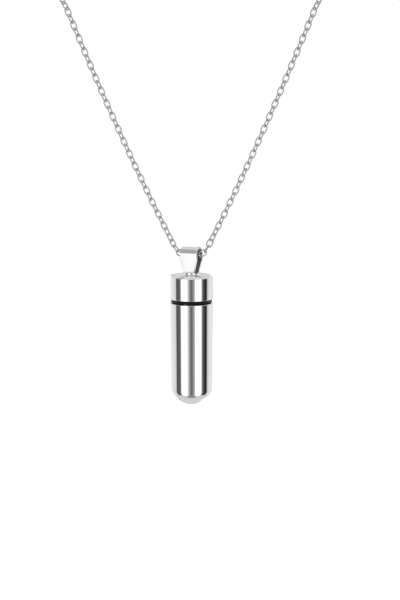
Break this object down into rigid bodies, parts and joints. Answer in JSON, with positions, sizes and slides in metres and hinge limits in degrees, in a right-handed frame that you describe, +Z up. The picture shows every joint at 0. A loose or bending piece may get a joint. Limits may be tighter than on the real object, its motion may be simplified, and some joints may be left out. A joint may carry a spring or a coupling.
{
  "type": "capsule pendant necklace",
  "caption": "Polished steel screw capsule with a rounded point and a rubber seal, hung by a folded strip bail from a long oval-link cable chain with a clasp.",
  "frame": {"origin": "middle of the clasp, where the chain lies on the nape of the neck", "axes": "+Z up, -Y towards the wearer's front, where the pendant hangs, and +X to the right as seen from the front"},
  "size_m": [0.1202, 0.1173, 0.1837],
  "materials": {
    "polished_steel": "mirror-polished stainless steel",
    "chain_steel": "polished stainless steel wire",
    "seal_rubber": "black rubber with a faint sheen"
  },
  "bodies": {
    "necklace": {"chain": "chain_steel", "clasp": "chain_steel"},
    "cap_body": {"cap": "polished_steel"},
    "seal_body": {"seal_ring": "seal_rubber"},
    "tube_body": {"tube": "polished_steel"}
  },
  "joints": [
    {"name": "pendant_swing", "type": "hinge", "parent": "necklace", "child": "cap_body", "pos_m": [0, -0.108, -0.13], "axis": [0.891, -0.454, 0], "range_deg": [-90, 90]},
    {"name": "tube_turn", "type": "hinge", "parent": "cap_body", "child": "seal_body", "pos_m": [0, -0.108, -0.1454], "axis": [0, 0, -1], "range_deg": [0, 2160]},
    {"name": "tube_travel", "type": "slide", "parent": "seal_body", "child": "tube_body", "axis": [0, 0, -1], "range_m": [0, 0.0045]}
  ],
  "couplings": [
    {"joint": "tube_turn", "follows": "tube_travel", "rad_per_m": 8377.6}
  ]
}
